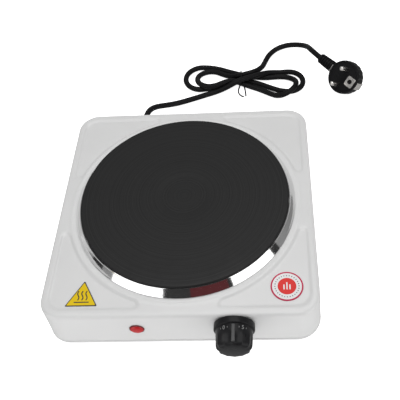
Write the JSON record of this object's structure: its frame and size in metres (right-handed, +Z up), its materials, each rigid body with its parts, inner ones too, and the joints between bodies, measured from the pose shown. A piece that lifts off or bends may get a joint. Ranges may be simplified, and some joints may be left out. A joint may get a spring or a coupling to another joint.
{
  "type": "electric hot plate",
  "caption": "Low square single-ring electric hot plate with a round cast-iron heating plate, front control knob, pilot lamp and a tied mains cord ending in an earthed plug.",
  "frame": {"origin": "centre of the footprint, knob included and free cord left out, on the table", "axes": "+Z up, -Y towards the user and the knob, +X to the user's right"},
  "size_m": [0.3002, 0.4144, 0.0644],
  "materials": {
    "enamel": "white baked enamel, semi-gloss",
    "cast_iron": "black high-temperature coating on machined cast iron",
    "polished_steel": "mirror-polished stainless steel",
    "zinc_steel": "zinc-plated sheet steel",
    "brass": "bare brass",
    "knob_plastic": "black moulded phenolic",
    "foot_rubber": "black rubber",
    "ceramic": "unglazed steatite",
    "lamp_red": "red translucent lens",
    "clear_glass": "clear glass",
    "cord_black": "black PVC cord sheath",
    "wire_brown": "brown insulation",
    "wire_blue": "blue insulation",
    "wire_green": "green and yellow insulation",
    "label_yellow": "printed yellow label",
    "label_white": "printed white and red label"
  },
  "bodies": {
    "base": {"housing": "enamel", "bottom_cover": "zinc_steel", "heating_plate": "cast_iron", "trim_ring": "polished_steel", "heating_coil": "zinc_steel", "coil_filler": "ceramic", "plate_shield": "zinc_steel", "plate_stud": "zinc_steel", "clamp_bar": "zinc_steel", "clamp_washer": "zinc_steel", "clamp_nut": "zinc_steel", "plate_terminal_block": "ceramic", "plate_terminal_inner": "brass", "plate_terminal_outer": "brass", "thermostat_bushing": "brass", "thermostat_bracket": "zinc_steel", "thermostat_body": "ceramic", "thermostat_screw_left": "zinc_steel", "thermostat_screw_right": "zinc_steel", "bimetal_blade": "brass", "contact_spring": "brass", "contact_rivet": "zinc_steel", "thermostat_terminal_in": "brass", "thermostat_terminal_out": "brass", "lamp_lens": "lamp_red", "neon_bulb": "clear_glass", "lamp_retainer": "zinc_steel", "strain_relief": "cord_black", "cord_lead": "cord_black", "cord_hank": "cord_black", "cord_tail": "cord_black", "twist_tie": "cord_black", "plug_body": "cord_black", "plug_pin_1": "polished_steel", "plug_pin_2": "polished_steel", "plug_earth_clip_1": "polished_steel", "plug_earth_clip_2": "polished_steel", "plug_earth_socket": "polished_steel", "terminal_block": "ceramic", "live_wire": "wire_brown", "switched_wire": "wire_brown", "neutral_wire": "wire_blue", "earth_wire": "wire_green", "lamp_wire": "wire_blue", "earth_stud": "zinc_steel", "earth_nut": "zinc_steel", "heat_label": "label_yellow", "rating_label": "label_white", "foot_front_left": "foot_rubber", "foot_screw_front_left": "zinc_steel", "foot_front_right": "foot_rubber", "foot_screw_front_right": "zinc_steel", "foot_back_left": "foot_rubber", "foot_screw_back_left": "zinc_steel", "foot_back_right": "foot_rubber", "foot_screw_back_right": "zinc_steel"},
    "control_knob": {"knob": "knob_plastic", "knob_spring_clip": "zinc_steel", "thermostat_shaft": "brass"}
  },
  "joints": [
    {"name": "knob_turn", "type": "hinge", "parent": "base", "child": "control_knob", "pos_m": [0.0446, -0.10395, 0.042], "axis": [0, 1, 0], "range_deg": [0, 290]}
  ]
}
